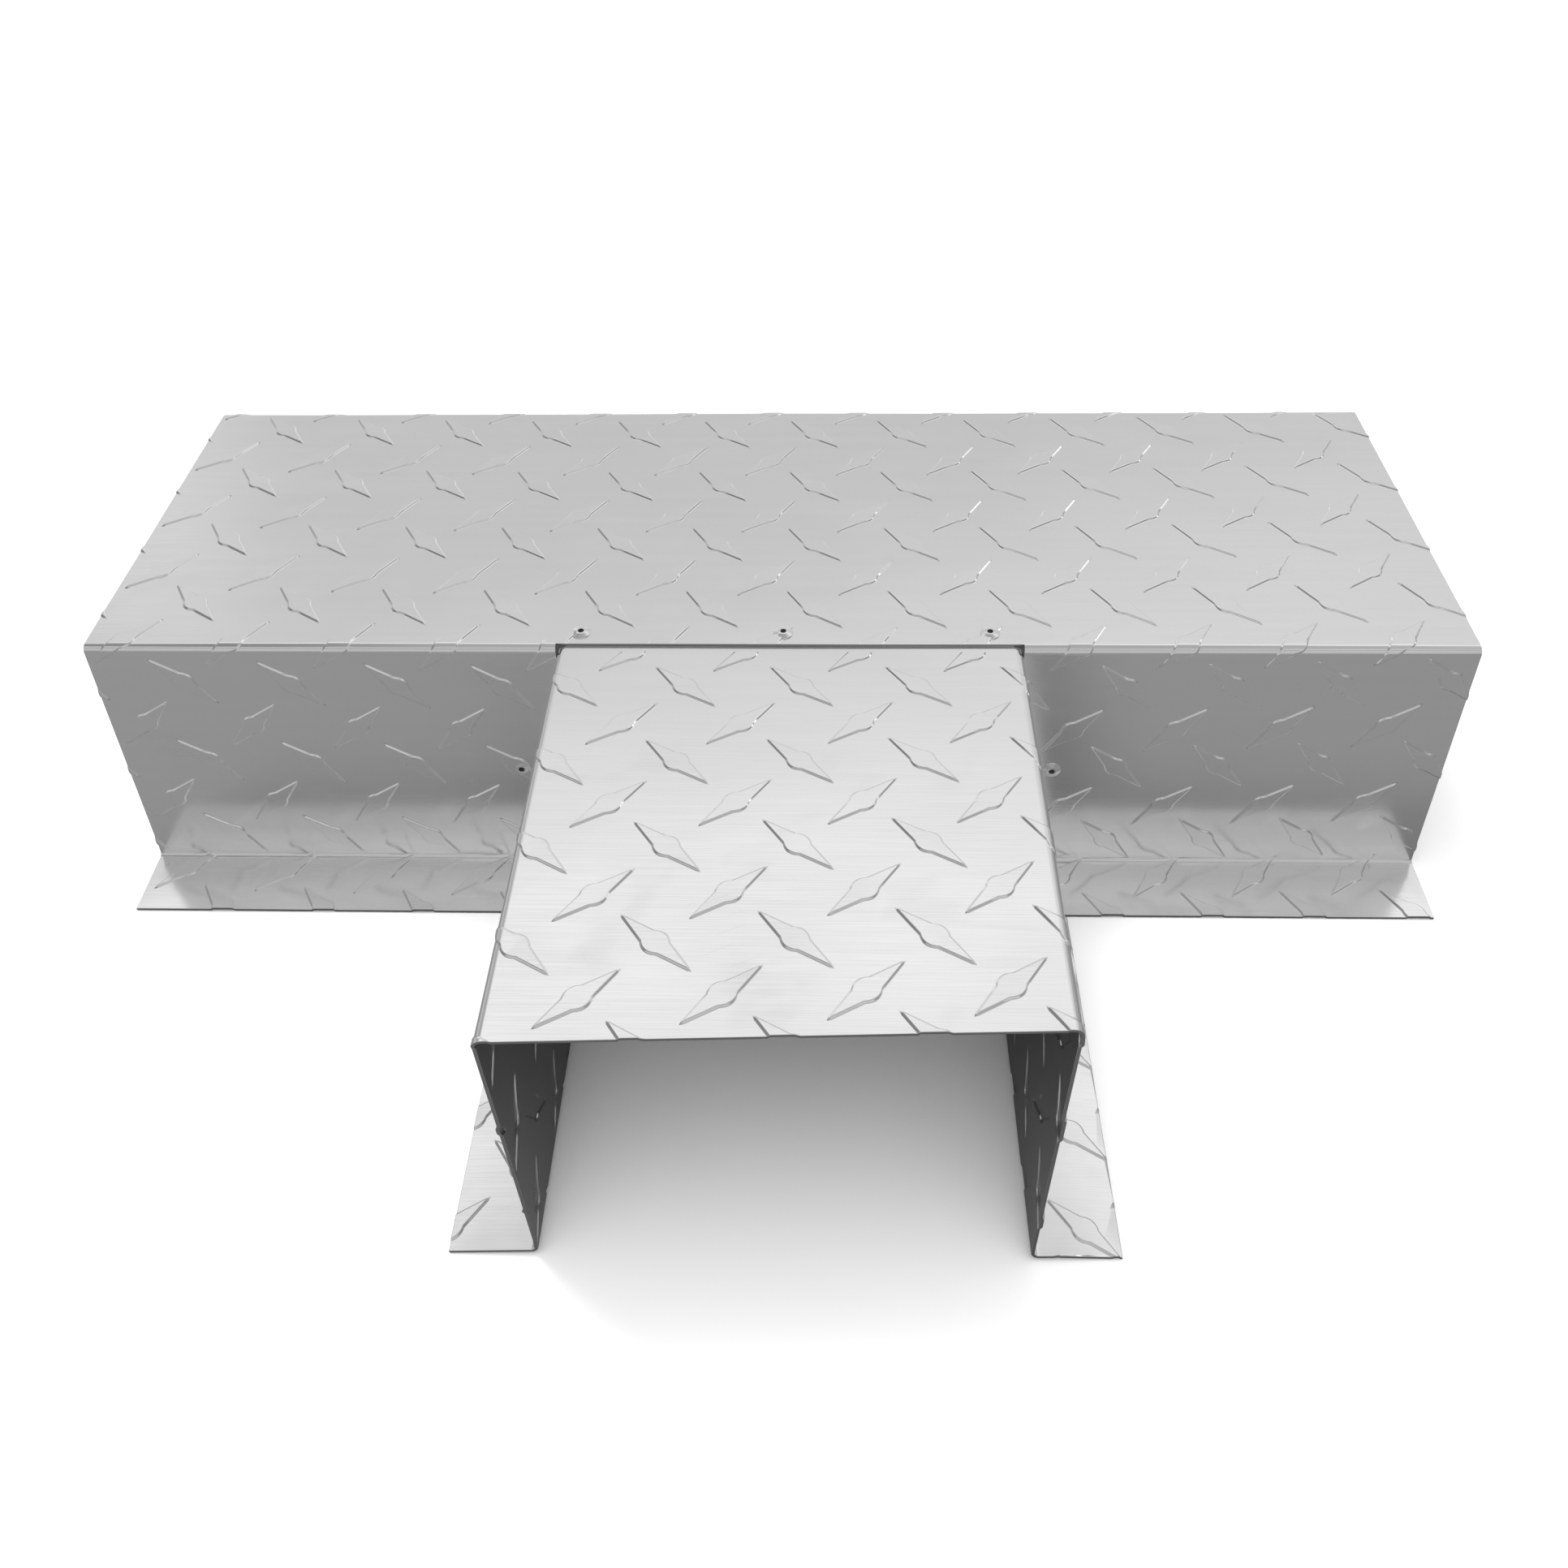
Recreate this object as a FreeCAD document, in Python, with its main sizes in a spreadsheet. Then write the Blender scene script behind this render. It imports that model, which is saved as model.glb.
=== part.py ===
# Tee cover of bent tread-plate sheet.
#
# Two open-bottomed channels with out-turned flanges make a tee. The long main cover lies along X.
# The shorter stem cover runs forward from it, along -Y, through a notch in the main cover's front.
# A tab on the stem's top lies under the main cover's top, and two side tabs lie behind its front
# wall. Five blind rivets hold the tabs. Millimetres, +Z up, flanges on the plane Z = 0, origin at
# the middle of the bounding box's base.

import FreeCAD, Part
import Sketcher
import os

doc = FreeCAD.newDocument("tee_cover")

# ---------------------------------------------------------------- driving dimensions

DIMENSIONS = [
    ("main_length", 457.2),       # along X
    ("main_depth", 147.0),        # outside of the front wall to outside of the back wall
    ("cover_height", 101.6),      # floor to the top of the main cover
    ("flange_width", 25.4),       # outside of a wall to the edge of its flange
    ("sheet_thk", 1.0),
    ("bend_outer", 2.5),          # outer bend radius
    ("bend_inner", 1.5),          # inner bend radius
    ("stem_width", 152.4),        # across the stem's top, to the sharp corners
    ("stem_length", 148.5),       # outside of the front wall to the stem's open end
    ("stem_skew", 5.0),           # how far the open end's top corner is cut back at the right
    ("stem_offset", 5.0),         # the stem's centre line, to the right of the main cover's
    ("wall_lean", 3.0),           # degrees by which the stem's side walls close in downwards
    ("notch_gap", 0.4),           # from the stem's sides to the edges of the notch
    ("notch_back", 2.2),          # from the outside of the front wall to the notch's back edge
    ("flange_gap", 0.8),          # between the stem's flanges and the edge of the main flange
    ("flange_relief", 5.0),       # height of the cut in the stem's walls where it has no flange
    ("tab_gap", 0.05),            # between a tab and the sheet that it lies against
    ("top_tab_width", 147.0),
    ("top_tab_reach", 16.5),      # from the outside of the front wall
    ("side_tab_reach", 26.0),     # out from the stem's sharp corner
    ("side_tab_low", 20.0),
    ("side_tab_high", 82.0),
    ("hole_dia", 3.3),
    ("top_rivet_back", 7.8),      # from the outside of the front wall
    ("top_rivet_left", -64.0),
    ("top_rivet_middle", 3.0),
    ("top_rivet_right", 71.0),
    ("wall_rivet_height", 47.0),
    ("wall_rivet_left", -89.0),
    ("wall_rivet_right", 95.0),
    ("head_dia", 6.5),
    ("head_height", 1.1),
    ("head_rim", 0.4),
    ("shank_dia", 3.2),
    ("bulb_dia", 4.4),
    ("bulb_length", 3.2),
    ("bore_dia", 2.0),
    ("mandrel_recess", 0.9),      # from the crown of the head to the mandrel's broken end
    ("mandrel_dia", 1.9),
    ("mandrel_head_dia", 3.0),
    ("mandrel_head_length", 1.4),
]

sheet = doc.addObject("Spreadsheet::Sheet", "dims")
for line, (alias, value) in enumerate(DIMENSIONS, start=1):
    sheet.set(f"A{line}", alias)
    sheet.set(f"B{line}", str(value))
    sheet.setAlias(f"B{line}", alias)
doc.recompute()
D = dict(DIMENSIONS)

# Expressions that several features share. FRONT is the Y of the outside of the front wall, which
# puts the origin midway between the stem's open end and the edge of the back flange.
FRONT = "((dims.stem_length - dims.main_depth - dims.flange_width) / 2)"
BACK = f"({FRONT} + dims.main_depth)"
TOP = "dims.cover_height"
THK = "dims.sheet_thk"
WALL_END = f"({FRONT} + 2 * {THK} + dims.tab_gap)"
STEM_TOP = f"({TOP} - {THK} - dims.tab_gap)"
SIN = "sin(dims.wall_lean * 1 deg)"
COS = "cos(dims.wall_lean * 1 deg)"
TAN = "tan(dims.wall_lean * 1 deg)"
HALF_STEM = "dims.stem_width / 2"
front = (D["stem_length"] - D["main_depth"] - D["flange_width"]) / 2


# ---------------------------------------------------------------- helpers

def new_body(label):
    body = doc.addObject("PartDesign::Body", label)
    body.Label = label
    return body


def new_sketch(body, name, role, offset=None):
    """Sketch on one of the body's own origin planes, moved along its normal by an expression."""
    sketch = body.newObject("Sketcher::SketchObject", name)
    plane = next(f for f in body.Origin.OriginFeatures if f.Role == role)
    sketch.AttachmentSupport = [(plane, "")]
    sketch.MapMode = "FlatFace"
    if offset:
        sketch.setExpression(".AttachmentOffset.Base.z", offset)
    return sketch


def constrain(sketch, kind, name, expression, *where):
    """Named dimension that an expression drives."""
    index = sketch.addConstraint(Sketcher.Constraint(kind, *where, 1.0))
    sketch.renameConstraint(index, name)
    sketch.setExpression(f".Constraints.{name}", expression)


def polygon(sketch, corners):
    """Closed polygon whose corners are pairs of expressions, from the sketch's origin."""
    count = len(corners)
    rough = [FreeCAD.Vector(10 + 10 * k, 7 * (k % 3) + k * k, 0) for k in range(count)]
    for k in range(count):
        sketch.addGeometry(Part.LineSegment(rough[k], rough[(k + 1) % count]), False)
    for k in range(count):
        sketch.addConstraint(Sketcher.Constraint("Coincident", k, 2, (k + 1) % count, 1))
    for k, (across, up) in enumerate(corners):
        constrain(sketch, "DistanceX", f"across_{k}", across, -1, 1, k, 1)
        constrain(sketch, "DistanceY", f"up_{k}", up, -1, 1, k, 1)


def circles(sketch, centres, diameter):
    """Equal circles whose centres are pairs of expressions, from the sketch's origin."""
    for k, (across, up) in enumerate(centres):
        ring = Part.Circle(FreeCAD.Vector(20 * k + 5, 5, 0), FreeCAD.Vector(0, 0, 1), 1)
        sketch.addGeometry(ring, False)
        constrain(sketch, "Diameter", f"hole_{k}", diameter, k)
        constrain(sketch, "DistanceX", f"across_{k}", across, -1, 1, k, 3)
        constrain(sketch, "DistanceY", f"up_{k}", up, -1, 1, k, 3)


def extrude(body, kind, name, sketch, length, reverse=False, both_ways=False):
    """Pad or Pocket of a given length."""
    feature = body.newObject("PartDesign::" + kind, name)
    feature.Profile = sketch
    feature.Reversed = reverse
    feature.Midplane = both_ways
    feature.setExpression("Length", length)
    doc.recompute()
    return feature


def round_edges(body, name, base, radius, wanted):
    """Fillet on the edges of the base that the test accepts by length and middle point."""
    edges = [f"Edge{k}" for k, edge in enumerate(base.Shape.Edges, start=1)
             if wanted(edge.Length, edge.valueAt((edge.FirstParameter + edge.LastParameter) / 2))]
    fillet = body.newObject("PartDesign::Fillet", name)
    fillet.Base = (base, edges)
    fillet.setExpression("Radius", radius)
    doc.recompute()
    return fillet


def near(value, target):
    return abs(value - target) < 0.02


# ---------------------------------------------------------------- main cover

main = new_body("main_cover")
section = new_sketch(main, "main_section", "YZ_Plane")
polygon(section, [
    (f"{FRONT} - dims.flange_width", "0"),
    (f"{FRONT} + {THK}", "0"),
    (f"{FRONT} + {THK}", f"{TOP} - {THK}"),
    (f"{BACK} - {THK}", f"{TOP} - {THK}"),
    (f"{BACK} - {THK}", "0"),
    (f"{BACK} + dims.flange_width", "0"),
    (f"{BACK} + dims.flange_width", THK),
    (BACK, THK),
    (BACK, TOP),
    (FRONT, TOP),
    (FRONT, THK),
    (f"{FRONT} - dims.flange_width", THK),
])
channel = extrude(main, "Pad", "main_channel", section, "dims.main_length", both_ways=True)

back = front + D["main_depth"]
thk, height = D["sheet_thk"], D["cover_height"]
outer_bends = {(front, height), (back, height), (front + thk, 0.0), (back - thk, 0.0)}
inner_bends = {(front + thk, height - thk), (back - thk, height - thk), (front, thk), (back, thk)}


def along_x(bends):
    return lambda length, mid: (near(length, D["main_length"])
                                and any(near(mid.y, y) and near(mid.z, z) for y, z in bends))


main_outer = round_edges(main, "main_outer_bends", channel, "dims.bend_outer", along_x(outer_bends))
main_inner = round_edges(main, "main_inner_bends", main_outer, "dims.bend_inner", along_x(inner_bends))

# The notch follows the stem's leaning sides and stops where the top's bend begins.
notch = new_sketch(main, "notch_outline", "XZ_Plane", f"-({FRONT} + dims.notch_back)")
low, high = "-5", f"{TOP} + 5"
polygon(notch, [
    (f"dims.stem_offset - {HALF_STEM} - dims.notch_gap + ({STEM_TOP} - ({z})) * {TAN}", z)
    for z in (low, high)
] + [
    (f"dims.stem_offset + {HALF_STEM} + dims.notch_gap - ({STEM_TOP} - ({z})) * {TAN}", z)
    for z in (high, low)
])
extrude(main, "Pocket", "notch", notch, "dims.notch_back + dims.flange_width + 5", reverse=True)

top_centres = [(f"dims.top_rivet_{side}", f"{FRONT} + dims.top_rivet_back")
               for side in ("left", "middle", "right")]
wall_centres = [(f"dims.wall_rivet_{side}", "dims.wall_rivet_height") for side in ("left", "right")]

top_holes = new_sketch(main, "top_hole_outlines", "XY_Plane", f"{TOP} + 1")
circles(top_holes, top_centres, "dims.hole_dia")
extrude(main, "Pocket", "top_holes", top_holes, f"{THK} + 2")

wall_holes = new_sketch(main, "wall_hole_outlines", "XZ_Plane", f"-({FRONT} + {THK} + 1)")
circles(wall_holes, wall_centres, "dims.hole_dia")
extrude(main, "Pocket", "wall_holes", wall_holes, f"{THK} + 2", reverse=True)

# ---------------------------------------------------------------- stem cover

stem = new_body("stem_cover")
WALL_RUN = f"(({STEM_TOP} - dims.flange_width * {SIN}) / {COS})"


def stem_point(run, out):
    """Corner on the right of the stem's section: run is measured down the wall's outer face from
    the top's sharp corner, and out is measured square to that face, outwards."""
    return (f"{HALF_STEM} - ({run}) * {SIN} + ({out}) * {COS}",
            f"{STEM_TOP} - ({run}) * {COS} - ({out}) * {SIN}")


right_half = [
    (HALF_STEM, STEM_TOP),
    stem_point(f"{WALL_RUN} - {THK}", "0"),
    stem_point(f"{WALL_RUN} - {THK}", "dims.flange_width"),
    stem_point(WALL_RUN, "dims.flange_width"),
    stem_point(WALL_RUN, f"-{THK}"),
    stem_point(f"{THK} * (1 + {SIN}) / {COS}", f"-{THK}"),
]
section = new_sketch(stem, "stem_section", "XZ_Plane", f"-{WALL_END}")
polygon(section, [(f"dims.stem_offset + ({u})", z) for u, z in right_half]
        + [(f"dims.stem_offset - ({u})", z) for u, z in reversed(right_half)])
channel = extrude(stem, "Pad", "stem_channel", section, f"{WALL_END} - {FRONT} + dims.stem_length")


def along_stem(*corners):
    """Lengthwise edges at given corners of the right half of the section, and at their mirrors."""
    bends = [(D["stem_offset"] + sign * (section.getDatum(f"across_{k}").Value - D["stem_offset"]),
              section.getDatum(f"up_{k}").Value) for k in corners for sign in (1, -1)]
    return lambda length, mid: (length > D["stem_length"]
                                and any(near(mid.x, x) and near(mid.z, z) for x, z in bends))


stem_outer = round_edges(stem, "stem_outer_bends", channel, "dims.bend_outer", along_stem(0, 4))
stem_inner = round_edges(stem, "stem_inner_bends", stem_outer, "dims.bend_inner", along_stem(1, 5))

# The open end isn't square: a slanting cut takes off the top's right-hand corner and dies out
# towards the top's left-hand corner and the foot of the right-hand wall.
SLANT = f"{FRONT} - dims.stem_length + dims.stem_skew * (-0.5 + ({{z}}) / {STEM_TOP})"
skew = new_sketch(stem, "skew_outline", "YZ_Plane", "dims.stem_offset")
low, high = "-5", f"({STEM_TOP} + 5)"
polygon(skew, [(f"{FRONT} - dims.stem_length - 20", low), (SLANT.format(z=low), low),
               (SLANT.format(z=high), high), (f"{FRONT} - dims.stem_length - 20", high)])
skew_cut = extrude(stem, "Pocket", "skew_cut", skew, "2 * dims.stem_width", both_ways=True)
skew_cut.UseCustomVector = True
skew_cut.setExpression("Direction", "create(<<vector>>; 1; dims.stem_skew / dims.stem_width; 0)")
doc.recompute()

# No flange from the edge of the main flange backwards, so the walls alone pass through the notch.
relief = new_sketch(stem, "flange_relief_outline", "YZ_Plane")
near_end, far_end = f"{FRONT} - dims.flange_width - dims.flange_gap", f"{WALL_END} + 5"
polygon(relief, [(near_end, "-5"), (far_end, "-5"), (far_end, "dims.flange_relief"),
                 (near_end, "dims.flange_relief")])
extrude(stem, "Pocket", "flange_relief", relief, "dims.main_length", both_ways=True)

# The top tab, under the main cover's top.
tab = new_sketch(stem, "top_tab_outline", "XY_Plane", STEM_TOP)
left, right = (f"dims.stem_offset {sign} dims.top_tab_width / 2" for sign in "-+")
near_end, far_end = f"{WALL_END} - 2", f"{FRONT} + dims.top_tab_reach"
polygon(tab, [(left, near_end), (right, near_end), (right, far_end), (left, far_end)])
extrude(stem, "Pad", "top_tab", tab, THK, reverse=True)

# The side tabs, turned outwards behind the main cover's front wall.
for side, sign in (("left", "-"), ("right", "+")):
    tab = new_sketch(stem, f"{side}_tab_outline", "XZ_Plane", f"-{WALL_END}")
    wall_middle = f"{HALF_STEM} - {THK} / 2"
    inner = [f"dims.stem_offset {sign} ({wall_middle} - ({STEM_TOP} - dims.side_tab_{end}) * {TAN})"
             for end in ("low", "high")]
    outer = f"dims.stem_offset {sign} ({HALF_STEM} + dims.side_tab_reach)"
    polygon(tab, [(inner[0], "dims.side_tab_low"), (outer, "dims.side_tab_low"),
                  (outer, "dims.side_tab_high"), (inner[1], "dims.side_tab_high")])
    extrude(stem, "Pad", f"{side}_tab", tab, THK)

top_holes = new_sketch(stem, "tab_hole_outlines", "XY_Plane", f"{TOP} + 1")
circles(top_holes, top_centres, "dims.hole_dia")
extrude(stem, "Pocket", "tab_holes", top_holes, f"2 * {THK} + 2")

wall_holes = new_sketch(stem, "side_hole_outlines", "XZ_Plane", f"-({WALL_END} + 1)")
circles(wall_holes, wall_centres, "dims.hole_dia")
extrude(stem, "Pocket", "side_holes", wall_holes, f"{THK} + 1.5", reverse=True)

# ---------------------------------------------------------------- blind rivets

GRIP = f"(2 * {THK} + dims.tab_gap)"
TAIL = f"({GRIP} + dims.bulb_length)"


def turned(label, corners):
    """Body turned about its own Z axis from a half outline of (radius, height) expressions."""
    body = new_body(label)
    outline = new_sketch(body, label + "_outline", "XZ_Plane")
    polygon(outline, corners)
    turn = body.newObject("PartDesign::Revolution", label + "_turn")
    turn.Profile = outline
    turn.ReferenceAxis = (outline, ["V_Axis"])
    doc.recompute()
    return body, turn


def place(body, across, deep, up, outwards):
    """Put the seat of a rivet's head at a point, facing up or outwards through the front wall."""
    turn = FreeCAD.Rotation(FreeCAD.Vector(1, 0, 0), 90 if outwards else 0)
    body.Placement = FreeCAD.Placement(FreeCAD.Vector(), turn)
    for axis, expression in (("x", across), ("y", deep), ("z", up)):
        body.setExpression(f".Placement.Base.{axis}", expression)


def blind_rivet(name, across, deep, up, outwards):
    """Hollow rivet, its head's seat at height 0, and the broken mandrel that stays in it."""
    rivet, turn = turned(name + "_rivet", [
        ("dims.bore_dia / 2", f"-{TAIL}"),
        ("dims.shank_dia / 2", f"-{TAIL}"),
        ("dims.bulb_dia / 2", f"-({TAIL} - 0.3 * dims.bulb_length)"),
        ("dims.bulb_dia / 2", f"-({GRIP} + 0.1 * dims.bulb_length)"),
        ("dims.bulb_dia / 2 - 0.2", f"-{GRIP}"),
        ("dims.shank_dia / 2", f"-{GRIP}"),
        ("dims.shank_dia / 2", "0"),
        ("dims.head_dia / 2", "0"),
        ("dims.head_dia / 2", "dims.head_rim"),
        ("dims.bore_dia / 2 + 0.5", "dims.head_height"),
        ("dims.bore_dia / 2", "dims.head_height"),
    ])
    crown = round_edges(rivet, name + "_crown", turn, "1.5",
                        lambda length, mid: near(mid.z, D["head_height"])
                        and length > 3.2 * D["bore_dia"])
    round_edges(rivet, name + "_rim", crown, "0.2",
                lambda length, mid: near(mid.z, D["head_rim"]))
    mandrel, _ = turned(name + "_mandrel", [
        ("0", f"-({TAIL} + dims.mandrel_head_length)"),
        ("dims.mandrel_head_dia / 2", f"-({TAIL} + dims.mandrel_head_length)"),
        ("dims.mandrel_head_dia / 2", f"-{TAIL}"),
        ("dims.mandrel_dia / 2", f"-{TAIL}"),
        ("dims.mandrel_dia / 2", "dims.head_height - dims.mandrel_recess"),
        ("0", "dims.head_height - dims.mandrel_recess"),
    ])
    for body in (rivet, mandrel):
        place(body, across, deep, up, outwards)
    return [rivet, mandrel]


pieces = [main, stem]
for side, (across, deep) in zip(("left", "middle", "right"), top_centres):
    pieces += blind_rivet("top_" + side, across, deep, TOP, outwards=False)
for side, (across, up) in zip(("left", "right"), wall_centres):
    pieces += blind_rivet("wall_" + side, across, FRONT, up, outwards=True)

# ---------------------------------------------------------------- checks and files

doc.recompute()
failed = [item.Name for item in doc.Objects if {"Invalid", "Error"} & set(item.State)]
if failed:
    raise RuntimeError(f"failed objects: {failed}")
for piece in pieces:
    shape = piece.Shape
    if shape.isNull() or not shape.isValid() or len(shape.Solids) != 1:
        raise RuntimeError(f"{piece.Label} is not one valid solid")

os.makedirs("parts", exist_ok=True)
for piece in pieces:
    piece.Shape.exportStep(f"parts/{piece.Label}.step")
    box = piece.Shape.BoundBox
    print(f"{piece.Label:18s} {piece.Shape.Volume:10.1f} mm3  "
          f"{box.XLength:.1f} x {box.YLength:.1f} x {box.ZLength:.1f}")
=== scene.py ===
"""Tread plate tee cover: the two embossed sheets in full relief, the blind rivets' finishes (the
mandrels painted near black as painted shade in the bores), a pale studio and the camera. The sheets are
laid out flat, given their lugs, cut and then folded along the CAD covers' own sections. Lengths are in
millimetres until a mesh is made."""
import math

import bpy
import numpy as np
from mathutils import Matrix, Vector, geometry


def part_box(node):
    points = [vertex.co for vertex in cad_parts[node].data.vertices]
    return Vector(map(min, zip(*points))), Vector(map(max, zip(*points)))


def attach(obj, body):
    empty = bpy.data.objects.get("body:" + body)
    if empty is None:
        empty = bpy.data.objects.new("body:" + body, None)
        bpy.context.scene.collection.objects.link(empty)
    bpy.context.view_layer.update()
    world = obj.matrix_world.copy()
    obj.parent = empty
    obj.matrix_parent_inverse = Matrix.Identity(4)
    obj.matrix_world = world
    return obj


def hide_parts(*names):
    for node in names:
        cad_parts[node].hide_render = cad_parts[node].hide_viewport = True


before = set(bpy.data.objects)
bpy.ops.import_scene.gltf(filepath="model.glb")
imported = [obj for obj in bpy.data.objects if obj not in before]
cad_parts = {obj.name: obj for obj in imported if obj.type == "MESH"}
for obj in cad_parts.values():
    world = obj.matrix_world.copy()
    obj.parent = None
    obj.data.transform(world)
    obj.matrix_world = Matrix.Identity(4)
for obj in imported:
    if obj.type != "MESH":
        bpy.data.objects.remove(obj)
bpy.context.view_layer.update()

MM = 0.001

# The folded sheets, as in the CAD model.
SHEET = 1.0             # thickness
FLANGE = 25.4
BEND_INSIDE = 1.5       # radii
BEND_OUTSIDE = 2.5
NEUTRAL_DEPTH = 0.2     # of the layer that keeps its length in a bend, below the show face
EDGE_ROUND = 0.12       # deburred edge
NOTCH_GAP = 0.4
NOTCH_BACK = 2.2        # from the front wall to the notch's back edge
STEM_WIDTH = 152.4
STEM_LENGTH = 148.5
STEM_SKEW = 5.0         # how much shorter the stem's top right corner is
STEM_LEAN = math.radians(3)
WALL_END = 2.05         # from the front wall to the back edge of the stem's walls
FLANGE_RELIEF = 5.0     # height of the cut where the stem has no flange
FLANGE_GAP = 0.8
TOP_TAB_WIDTH = 147.0
SIDE_TAB_REACH = 26.0
SIDE_TAB_LOW, SIDE_TAB_HIGH = 20.0, 82.0
TAB_BEND_INSIDE = 0.5
TAB_SLOT = 0.6          # relief slots beside a side tab's bend
HOLE_RADIUS = 1.65
FLANGE_CROWN = 0.3      # rise of a flange's middle
SHORT_RIPPLE, SHORT_WAVES = 0.05, (19.0, 37.0, 14.0)   # unevenness, and its wavelengths over 2 pi
LONG_RIPPLE, LONG_WAVES = 0.09, (43.0, 61.0)

# The mesh.
FOLD_STEPS = 6          # facets round a bend
TAB_FOLD_STEPS = 4
END_STOPS = 5           # outline points round a bend at the stem's open end
GRID_STEP = 8.0         # between the points of a flat face
MERGE = 1e-4            # points nearer than this become one
LEAST_AREA = 1e-7       # twice the area of a triangle worth keeping
NUDGE = 0.02            # step for working out normals

# One lug: straight flanks from each tip to a rounded hub.
LUG_REACH = 13.9        # centre to tip
LUG_TIP_ROUND = 0.5     # length of the rounded tip
LUG_TIP_HALF = 0.4      # half-width that the flanks aim at beside the tip
LUG_WAIST = 3.1         # centre to where the hub starts
LUG_WAIST_HALF = 2.85
LUG_HUB_RISE = 1.25
LUG_HEIGHT = 0.6
LUG_RIM = 0.84          # width of the sloping rim
LUG_RINGS = (0.0, 0.28, 0.56, LUG_RIM)      # depths inside the outline of a lug's loops of points
LUG_STATIONS = np.array([0, 0.65, 1.3, 1.9, 2.5, LUG_WAIST, 5.5, 8.5, 11.0, 12.6])
LUG_TIP_GAP = 0.3       # from the last station to the tip
FOLD_LOSS = 0.45        # share of a lug's height lost in a fold
FOLD_FADE = 2.5         # and how far from the fold it is all back
CUT_FADE = 1.5          # the same beside an edge that presses the lugs flat
STEM_FLAT = 0.3         # from the front wall to where the stem's lugs start to rise


def smooth(t):
    t = np.clip(t, 0, 1)
    return t * t * (3 - 2 * t)


# ---------------------------------------------------------------- the lugs

def lug_half_width(u):
    u = np.abs(u)
    flank = np.interp(u, (LUG_WAIST, LUG_REACH), (LUG_WAIST_HALF, LUG_TIP_HALF))
    hub = LUG_HUB_RISE * np.clip(1 - (u / LUG_WAIST) ** 2, 0, None)
    return (flank + hub) * np.sqrt(np.clip((LUG_REACH - u) / LUG_TIP_ROUND, 0, 1))


def lug_ring(depth):
    """One closed loop, that far inside the lug's outline."""
    along = np.linspace(LUG_WAIST, LUG_REACH, 400)
    tip = np.interp(-depth, -lug_half_width(along), along)
    u = LUG_STATIONS[LUG_STATIONS < tip - LUG_TIP_GAP]
    u = np.concatenate([-u[:0:-1], u])
    v = lug_half_width(u) - depth
    return np.vstack([[(tip, 0)], np.stack([u, v], 1)[::-1], [(-tip, 0)], np.stack([u, -v], 1)])


class Lugs:
    """Every lug of one flat sheet: its centre and the direction that it points in."""

    def __init__(self, centres, angles):
        self.centres = np.array(centres)
        self.along = np.stack([np.cos(angles), np.sin(angles)], 1)
        self.across = np.stack([-self.along[:, 1], self.along[:, 0]], 1)

    def inside(self, low, high):
        """Only the lugs that reach into a box."""
        above, below = np.array(low) - LUG_REACH, np.array(high) + LUG_REACH
        keep = ((self.centres > above) & (self.centres < below)).all(1)
        self.centres, self.along, self.across = self.centres[keep], self.along[keep], self.across[keep]
        return self

    def loops(self):
        rings = [lug_ring(depth) for depth in LUG_RINGS]
        return [centre + ring[:, :1] * along + ring[:, 1:] * across
                for centre, along, across in zip(self.centres, self.along, self.across)
                for ring in rings]

    def rim_distance(self, at):
        """How far inside the nearest lug's outline each point is: negative outside."""
        inside = np.full(len(at), -LUG_REACH)
        for centre, along, across in zip(self.centres, self.along, self.across):
            near = np.flatnonzero((np.abs(at - centre) < LUG_REACH).all(1))
            apart = at[near] - centre
            depth = lug_half_width(apart @ along) - np.abs(apart @ across)
            inside[near] = np.maximum(inside[near], depth)
        return inside


# ---------------------------------------------------------------- folding

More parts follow.
